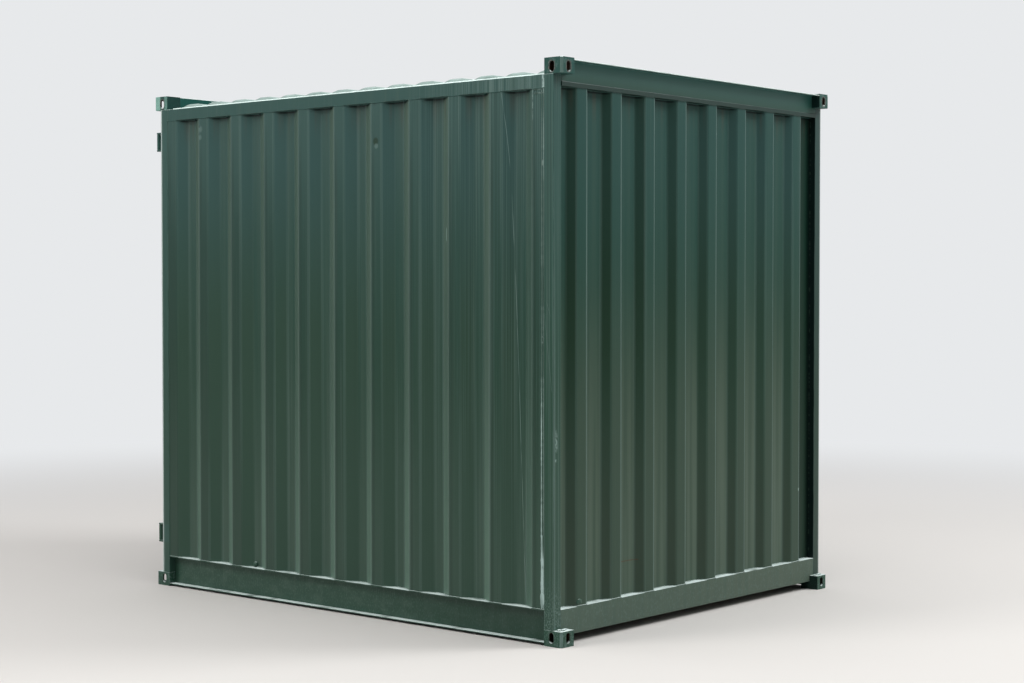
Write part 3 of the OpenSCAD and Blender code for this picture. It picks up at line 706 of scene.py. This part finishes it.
FINISHES = {
    "side_wall": lambda name: weathered(
        name, runs=0.15, worn=0.15, marks=side_wall_marks, settled=0.5, depth=0.86,
    ),
    "post": lambda name: weathered(name, lines=0.55, marks=post_marks),
    "bottom_rail": lambda name: weathered(name, chalk_and_highlight=1.0, flat=0.85, marks=bottom_rail_marks),
    "end_wall": lambda name: weathered(
        name, runs=0.1, lines=0.1, worn=0.15, marks=end_wall_marks, depth=0.85, gloss=0.15,
    ),
    "door_panel": lambda name: weathered(name, runs=0.2, lines=0.2, worn=0.15, depth=0.8),
    "frame": lambda name: weathered(name, lines=0.45),
    "rail": lambda name: weathered(name, marks=rail_marks, depth=0.95),
    # Painted light: depth 1.55 lightens the header's paint to make up for the light its flange keeps off.
    "header": lambda name: weathered(
        name, runs=0.05, lines=0.1, chalk_and_highlight=0.05, worn=0.15, marks=header_marks, depth=1.55, flat=0.6,
    ),
    "sheltered": lambda name: weathered(name, marks=shaded_face_marks, gloss=0.1),
    "sill": lambda name: weathered(name, chalk_and_highlight=1.0, dusty=0.75, settled=0.6, marks=low_beam_marks),
    "hardware": lambda name: weathered(name, runs=0.2, lines=0.2, chalk_and_highlight=0.5),
    "fitting": lambda name: weathered(
        name, lines=0.1, chalk_and_highlight=1.0, worn=0.8, marks=fitting_marks, gloss=0.12,
    ),
    # The studs' pale tops are a painted highlight.
    "stud": lambda name: weathered(name, lines=0.2, chalk_and_highlight=0.25, flat=0.6),
    "roof": lambda name: weathered(name, lines=0.0, chalk_and_highlight=0.2, marks=roof_marks, flat=0.1),
    "board": floor_boards_finish,
    "rubber": rubber_finish,
    "underside": underside_finish,
    "sealant": sealant_finish,
}


def finish(kind):
    """The material of that kind, made when it is first asked for."""
    name = kind + "_finish"
    return bpy.data.materials.get(name) or FINISHES[kind](name)


def node_copy(node):
    """A merged copy of a packed solid as a bmesh, with its flat faces joined."""
    bm = bmesh.new()
    bm.from_mesh(frame["nodes"][node].data)
    bm.faces.layers.float.new("rounded")
    bmesh.ops.remove_doubles(bm, verts=bm.verts, dist=0.00002)
    bmesh.ops.dissolve_limit(bm, angle_limit=radians(0.6), verts=bm.verts, edges=bm.edges)
    return bm


def round_edges(bm, setback, segments, edges=None):
    """Rounds the given edges, or else those at which the surface turns sharply."""
    if edges is None:
        edges = [e for e in bm.edges if len(e.link_faces) == 2 and e.calc_face_angle() > SHARP_TURN]
    made = bmesh.ops.bevel(
        bm, geom=edges, offset=setback, offset_type="OFFSET", segments=segments, profile=0.5,
        affect="EDGES", material=-1, clamp_overlap=True,
    )
    layer = bm.faces.layers.float.get("rounded")
    if layer is not None:
        for face in made["faces"]:
            face[layer] = 1.0


def show(bm, name, kind, body, nodes=(), crease=radians(32)):
    """Turns a bmesh into a piece that rides on a body and stands for its nodes."""
    mesh = bpy.data.meshes.new(name)
    for v in bm.verts:
        v.co = Vector(min(max(c, low), high) for c, low, high in zip(v.co, *CAD_BOX))
    for edge in bm.edges:
        edge.smooth = len(edge.link_faces) != 2 or edge.calc_face_angle() < crease
    for face in bm.faces:
        face.smooth = True
    bm.to_mesh(mesh)
    bm.free()
    mesh.materials.append(finish(kind))
    piece = bpy.data.objects.new(name, mesh)
    bpy.context.scene.collection.objects.link(piece)
    even = piece.modifiers.new("Even shading", "WEIGHTED_NORMAL")
    even.keep_sharp = True
    even.weight = 80
    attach(piece, body)
    if nodes:
        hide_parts(*nodes)
    return piece


def dress(node, kind, setback, segments=2):
    """Shows a packed solid with rounded edges."""
    bm = node_copy(node)
    round_edges(bm, setback, segments)
    return show(bm, node + "_rounded", kind, BODY_OF[node], [node])


def outer_line(node, axis, sign, at_top):
    """Points of a folded sheet's outer face along its lower or upper edge."""
    co = [v.co for v in frame["nodes"][node].data.vertices]
    level = max(c.z for c in co) if at_top else min(c.z for c in co)
    along = 1 - axis
    found = {}
    for c in co:
        if abs(c.z - level) < 0.0001:
            key = round(c[along], 4)
            if key not in found or sign * c[axis] > sign * found[key][axis]:
                found[key] = c.copy()
    return [found[key] for key in sorted(found)]


def dress_sheet(node, kind, axis, dents=()):
    """Shows a folded sheet with rounded bends, soft waves and dents. Its faces look along the axis."""
    sheet = bpy.context.scene.container_sheet
    low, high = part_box(node)
    bm = node_copy(node)
    bends = [
        e for e in bm.edges
        if e.calc_length() > 1.0 and len(e.link_faces) == 2
        and radians(10) < e.calc_face_angle() < radians(80)
    ]
    round_edges(bm, sheet.bend, 4, edges=bends)
    rows = round((high.z - low.z) / sheet.row)
    for row in range(1, rows):
        level = low.z + (high.z - low.z) * row / rows
        bmesh.ops.bisect_plane(
            bm, geom=bm.verts[:] + bm.edges[:] + bm.faces[:], plane_co=(0, 0, level),
            plane_no=(0, 0, 1), dist=0.00001,
        )
    wide = [
        e for e in bm.edges
        if e.calc_length() > 0.03 and abs(e.verts[0].co.z - e.verts[1].co.z) < 0.0001
    ]
    bmesh.ops.subdivide_edges(bm, edges=wide, cuts=2, use_grid_fill=True)
    across = 1 - axis
    for along, level, radius, depth in dents:
        reach = 2.2 * radius
        near = [
            e for e in bm.edges
            if all(abs(v.co[across] - along) < reach and abs(v.co.z - level) < reach for v in e.verts)
        ]
        if near:
            bmesh.ops.subdivide_edges(bm, edges=near, cuts=3, use_grid_fill=True)
    side = 1 if low[axis] + high[axis] > 0 else -1
    for v in bm.verts:
        place = v.co[across]
        margin = min(v.co.z - low.z, high.z - v.co.z, place - low[across], high[across] - place)
        fade = min(1.0, max(0.0, margin / sheet.wave_margin))
        push = sheet.wave * fade * noise.noise(Vector((place * 3.1, side * 7.0, v.co.z * 0.9)))
        for along, level, radius, depth in dents:
            square = ((place - along) ** 2 + (v.co.z - level) ** 2) / radius ** 2
            if square < 6.0:
                push -= depth * (1 - square / 6.0) ** 4
        v.co[axis] += side * push
    return show(bm, node + "_sheet", kind, BODY_OF[node], [node], crease=radians(28))


def add_bead(bm, start, end, radius, swell=0.14, flat=1.0):
    """Adds a rippled bead between two points, flattened along X."""
    weld = bpy.context.scene.container_weld
    start, end = Vector(start), Vector(end)
    run = end - start
    rod = bmesh.new()
    bmesh.ops.create_cone(rod, cap_ends=True, segments=8, radius1=radius, radius2=radius, depth=run.length)
    sides = [e for e in rod.edges if abs(e.verts[0].co.z - e.verts[1].co.z) > 0.9 * run.length]
    bmesh.ops.subdivide_edges(rod, edges=sides, cuts=max(1, round(2 * run.length / weld.ripple)))
    turn = run.to_track_quat("Z", "Y")
    middle = (start + end) / 2
    for v in rod.verts:
        phase = v.co.z / weld.ripple
        wobble = noise.noise(Vector((phase * 0.31, start.x * 5 + start.y * 3, start.z * 2)))
        size = 1 + swell * (sin(2 * pi * phase) + 1.6 * wobble - 0.6)
        v.co = middle + Vector((flat, 1.0, 1.0)) * (turn @ Vector((v.co.x * size, v.co.y * size, v.co.z)))
    gather(bm, rod)


def gather(bm, part):
    """Adds a finished part to a bmesh of like parts."""
    mesh = bpy.data.meshes.new("part")
    part.to_mesh(mesh)
    part.free()
    bm.from_mesh(mesh)
    bpy.data.meshes.remove(mesh)


def add_lump(bm, centre, size, seed):
    """Adds a lump of weld metal or sealant."""
    made = bmesh.ops.create_icosphere(bm, subdivisions=3, radius=1.0)["verts"]
    for v in made:
        rough = 1 + 0.28 * noise.noise(v.co * 1.7 + Vector((seed, seed * 2.3, 0)))
        v.co = Vector(centre) + Vector((v.co.x * size[0], v.co.y * size[1], v.co.z * size[2])) * rough


def reported(done):
    """The operator's result, or an error if nothing was made."""
    if not done:
        raise RuntimeError("nothing was made: the packed solids are missing")
    return {"FINISHED"}


class CONTAINER_OT_stage(bpy.types.Operator):
    """Sets up the floor, the soft light, the backdrop and the camera"""

    bl_idname = "container.stage"
    bl_label = "Studio stage"

    def execute(self, context):
        stage = context.scene.container_stage
        self.floor(stage)
        self.world(context, stage)
        for name, place, size, power, color in (
            ("Sky light", (1.0, 1.0, 6.5), 7.0, 330.0, (0.95, 0.98, 1.0)),
            ("Side wall light", (9.0, -3.6, 8.0), 4.0, 430.0, (1.0, 0.99, 0.97)),
            ("End wall light", (-5.5, 6.5, 8.0), 4.0, 620.0, (0.97, 0.99, 1.0)),
        ):
            self.lamp(context, name, Vector(place), size, power, color)
        self.camera(context, stage)
        return {"FINISHED"}

    def floor(self, stage):
        f = Finish("floor_finish")
        plain = f.node("ShaderNodeBsdfPrincipled", {"Base Color": stage.floor, "Roughness": 0.85})
        far = f.node("ShaderNodeEmission", {"Color": stage.backdrop, "Strength": 1.0})
        square = f.x * f.x + f.y * f.y
        out = f.ease(square.math("SQRT", square), 2.6, 9.5)
        seen = f.node("ShaderNodeLightPath", out="Is Camera Ray")
        mixed = f.node("ShaderNodeMixShader", {0: out * seen, 1: plain, 2: far})
        f.node("ShaderNodeOutputMaterial", {"Surface": mixed})
        bm = bmesh.new()
        bmesh.ops.create_grid(bm, x_segments=1, y_segments=1, size=60.0)
        mesh = bpy.data.meshes.new("Studio_floor")
        bm.to_mesh(mesh)
        bm.free()
        mesh.materials.append(f.material)
        floor = bpy.data.objects.new("Studio_floor", mesh)
        bpy.context.scene.collection.objects.link(floor)

    def world(self, context, stage):
        world = bpy.data.worlds.new("Studio_world")
        context.scene.world = world
        world.use_nodes = True
        w = Nodes(world.node_tree, "Generated")
        ray = w.node("ShaderNodeLightPath", out="Is Camera Ray")
        plain = ray.most(ray.output("Is Glossy Ray")).most(ray.output("Is Transmission Ray"))
        behind = w.ease(w.x + w.y, 0.1, 1.1) * w.ease(w.z, 0.75, 0.1)
        around = w.blend(behind, stage.backdrop, stage.dim_side)
        color = w.blend(ray, around, stage.backdrop)
        strength = plain * (1.0 - stage.fill) + stage.fill
        light = w.node("ShaderNodeBackground", {"Color": color, "Strength": strength})
        w.node("ShaderNodeOutputWorld", {"Surface": light})
        context.scene.view_settings.view_transform = "Standard"

    def lamp(self, context, name, place, size, power, color):
        data = bpy.data.lights.new(name, "AREA")
        data.shape = "SQUARE"
        data.size = size
        data.energy = power
        data.color = color
        lamp = bpy.data.objects.new(name, data)
        context.scene.collection.objects.link(lamp)
        aim = Vector((0.3, 0.3, 1.1)) - place
        lamp.matrix_world = Matrix.Translation(place) @ aim.to_track_quat("-Z", "Y").to_matrix().to_4x4()

    def camera(self, context, stage):
        data = bpy.data.cameras.new("Camera")
        data.lens = stage.lens
        data.sensor_width = 36.0
        data.clip_end = 200.0
        camera = bpy.data.objects.new("Camera", data)
        context.scene.collection.objects.link(camera)
        ahead = Vector((
            -cos(stage.pitch) * cos(stage.yaw), -cos(stage.pitch) * sin(stage.yaw), sin(stage.pitch),
        ))
        camera.matrix_world = (
            Matrix.Translation(stage.camera) @ ahead.to_track_quat("-Z", "Y").to_matrix().to_4x4()
        )
        context.scene.camera = camera


class CONTAINER_OT_frame(bpy.types.Operator):
    """Rounds the edges of the posts, rails, headers and sills"""

    bl_idname = "container.frame"
    bl_label = "Posts, rails, headers and sills"

    def execute(self, context):
        edge = context.scene.container_edge
        done = [dress(f"corner_post_{end}_{side}", "post", edge.post, 4) for end in ENDS for side in SIDES]
        for side in SIDES:
            done.append(dress(f"top_side_rail_{side}", "rail", edge.top_rail, 3))
            done.append(dress(f"bottom_side_rail_{side}", "bottom_rail", edge.bottom_rail, 2))
        for node, kind, setback in (
            ("header_door_end", "sheltered", edge.door_header),
            ("header_blind_end", "header", edge.blind_header),
            ("sill_door_end", "sill", edge.sill),
            ("sill_blind_end", "sill", edge.sill),
        ):
            done.append(dress(node, kind, setback, 3))
        return reported(done)


class CONTAINER_OT_fittings(bpy.types.Operator):
    """Rounds the eight cast corner fittings and the rims of their oval holes"""

    bl_idname = "container.fittings"
    bl_label = "Corner fittings"

    def execute(self, context):
        edge = context.scene.container_edge
        corners = [f"{end}_{side}" for end in ENDS for side in SIDES]
        done = []
        for node in [f"{level}_fitting_{place}" for level in ("lower", "upper") for place in corners]:
            low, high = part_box(node)
            corner = Vector((max(abs(low.x), high.x), max(abs(low.y), high.y)))
            bm = node_copy(node)
            outer = [
                e for e in bm.edges
                if all((Vector((abs(v.co.x), abs(v.co.y))) - corner).length < 0.0001 for v in e.verts)
            ]
            round_edges(bm, edge.fitting_corner, 4, edges=outer)
            round_edges(bm, edge.fitting, 3)
            done.append(show(bm, node + "_rounded", "fitting", BODY_OF[node], [node]))
        return reported(done)


class CONTAINER_OT_walls(bpy.types.Operator):
    """Shows the folded walls with rounded bends, soft waves and small dents"""

    bl_idname = "container.walls"
    bl_label = "Corrugated walls"

    def execute(self, context):
        sheet = context.scene.container_sheet
        dents = [(*place, sheet.dent_radius, sheet.dent_depth) for place in DENT_PLACES]
        done = [
            dress_sheet("side_wall_right", "side_wall", 0, dents),
            dress_sheet("side_wall_left", "side_wall", 0),
            dress_sheet("end_wall", "end_wall", 1),
        ]
        return reported(done)


class CONTAINER_OT_roof(bpy.types.Operator):
    """Shows the ribbed roof sheet with smooth ribs"""

    bl_idname = "container.roof"
    bl_label = "Roof"

    def execute(self, context):
        bm = node_copy("roof")
        sheet = show(bm, "roof_sheet", "roof", BODY_OF["roof"], ["roof"], radians(50))
        return reported([sheet])


class CONTAINER_OT_underfloor(bpy.types.Operator):
    """Lays separate floor boards and rounds the cross members under them"""

    bl_idname = "container.underfloor"
    bl_label = "Floor boards and cross members"

    def execute(self, context):
        sheet, edge = context.scene.container_sheet, context.scene.container_edge
        low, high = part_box("floor")
        pitch = (high.x - low.x) / sheet.board_count
        bm = bmesh.new()
        for index in range(sheet.board_count):
            left = low.x + index * pitch
            size = Vector((pitch - sheet.board_gap, high.y - low.y, high.z - low.z))
            middle = Vector((left + pitch / 2, (low.y + high.y) / 2, (low.z + high.z) / 2))
            place = Matrix.Translation(middle) @ Matrix.Diagonal((*size, 1.0))
            bmesh.ops.create_cube(bm, size=1.0, matrix=place)
        round_edges(bm, edge.board, 2)
        boards = show(bm, "floor_boards", "board", BODY_OF["floor"], ["floor"])
        return reported([boards, dress("cross_members", "underside", edge.cross_member)])


class CONTAINER_OT_doors(bpy.types.Operator):
    """Shows both doors: their frames, folded panels and rubber seals"""

    bl_idname = "container.doors"
    bl_label = "Doors"

    def execute(self, context):
        edge = context.scene.container_edge
        done = []
        for side in SIDES:
            done.append(dress(f"door_frame_{side}", "frame", edge.door_frame, 3))
            done.append(dress_sheet(f"door_panel_{side}", "door_panel", 1))
            done.append(dress(f"door_gasket_{side}", "rubber", edge.gasket, 2))
        return reported(done)


class CONTAINER_OT_gear(bpy.types.Operator):
    """Rounds the hinges and the locking gear"""

    bl_idname = "container.gear"
    bl_label = "Hinges and locking gear"

    def execute(self, context):
        edge = context.scene.container_edge
        names = ["hinge_lugs", "hinge_blades", "lock_rod", "lock_brackets", "lock_handle"]
        done = [dress(f"{name}_{side}", "hardware", edge.gear) for name in names for side in SIDES]
        done.append(dress("lock_keepers", "hardware", edge.keeper))
        return reported(done)


class CONTAINER_OT_welds(bpy.types.Operator):
    """Lays weld beads and sealed seams where the sheets and the frame meet"""

    bl_idname = "container.welds"
    bl_label = "Welds and seams"

    def execute(self, context):
        weld = context.scene.container_weld
        low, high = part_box("side_wall_right")
        beads = self.wall_beads(weld, low, high)
        bm = bmesh.new()
        for centre, size, seed in STUDS:
            add_lump(bm, centre, size, seed)
        studs = show(bm, "wall_studs", "stud", "container")
        return reported([beads, studs, self.post_seams(weld, low, high), self.roof_beads(weld)])

    def wall_beads(self, weld, low, high):
        """Beads along the walls' lower and upper edges, the door posts' seams and the feet's lumps."""
        bm = bmesh.new()
        for node, axis, sign in (("side_wall_right", 0, 1), ("side_wall_left", 0, -1), ("end_wall", 1, 1)):
            for at_top in (False, True):
                line = outer_line(node, axis, sign, at_top)
                for start, end in zip(line, line[1:]):
                    add_bead(bm, start, end, weld.bead)
        for sign in (1, -1):
            x, y = sign * (high.x + weld.proud), low.y + 0.0025
            add_bead(bm, (x, y, low.z), (x, y, high.z), weld.seam, swell=0.25, flat=0.3)
            for centre, size in FOOT_LUMPS:
                add_lump(bm, (sign * centre[0], *centre[1:]), size, seed=centre[0])
        return show(bm, "wall_weld_beads", "frame", "container")

    def post_seams(self, weld, low, high):
        """Sealant between the side walls and the blind end's posts, with its lumps."""
        bm = bmesh.new()
        for sign in (1, -1):
            x = sign * (high.x + weld.proud)
            for inset in (0.0155, 0.005):
                y = high.y - inset
                add_bead(bm, (x, y, low.z), (x, y, high.z), weld.seam, swell=0.3, flat=0.4)
            y = high.y - 0.012
            add_bead(bm, (x, y, 0.175), (x, y, 0.46), weld.foot_bead, swell=0.35, flat=0.2)
            x, y = sign * high.x, high.y - 0.003
            for drop in (0.004, 0.020):
                z = high.z - drop
                add_bead(bm, (x, y, z), (x, y - 0.052, z), weld.rail_bead, swell=0.6, flat=0.5)
            for centre, size in SEALANT_LUMPS:
                add_lump(bm, (sign * centre[0], *centre[1:]), size, seed=centre[2] + sign)
        return show(bm, "post_seams", "sealant", "container")

    def roof_beads(self, weld):
        """Beads along the roof's long edges."""
        bm = bmesh.new()
        low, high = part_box("roof")
        for sign in (1, -1):
            x, z = sign * (high.x - 0.0005), low.z + 0.002
            add_bead(bm, (x, low.y, z), (x, high.y, z), weld.seam)
        return show(bm, "roof_edge_beads", "roof", "container")


class CONTAINER_PT_panel(bpy.types.Panel):
    """Builds the container piece by piece"""

    bl_idname = "CONTAINER_PT_panel"
    bl_label = "Container"
    bl_space_type = "VIEW_3D"
    bl_region_type = "UI"
    bl_category = "Container"

    def draw(self, context):
        for operator in OPERATORS:
            self.layout.operator(operator.bl_idname)
        for name, settings in SETTINGS.items():
            box = self.layout.box()
            box.label(text=settings.__doc__.split(".")[0])
            for key in settings.__annotations__:
                box.prop(getattr(context.scene, name), key)


OPERATORS = (
    CONTAINER_OT_stage, CONTAINER_OT_frame, CONTAINER_OT_fittings, CONTAINER_OT_walls, CONTAINER_OT_roof,
    CONTAINER_OT_underfloor, CONTAINER_OT_doors, CONTAINER_OT_gear, CONTAINER_OT_welds,
)
SETTINGS = {
    "container_paint": PaintSettings, "container_sheet": SheetSettings, "container_edge": EdgeSettings,
    "container_weld": WeldSettings, "container_stage": StageSettings,
}


def register():
    for item in (*SETTINGS.values(), *OPERATORS, CONTAINER_PT_panel):
        bpy.utils.register_class(item)
    for name, settings in SETTINGS.items():
        setattr(bpy.types.Scene, name, bpy.props.PointerProperty(type=settings))


def unregister():
    for name in SETTINGS:
        delattr(bpy.types.Scene, name)
    for item in (CONTAINER_PT_panel, *reversed(OPERATORS), *SETTINGS.values()):
        bpy.utils.unregister_class(item)


def main():
    register()
    bpy.ops.container.stage()
    bpy.ops.container.frame()
    bpy.ops.container.fittings()
    bpy.ops.container.walls()
    bpy.ops.container.roof()
    bpy.ops.container.underfloor()
    bpy.ops.container.doors()
    bpy.ops.container.gear()
    bpy.ops.container.welds()


if __name__ == "__main__":
    main()
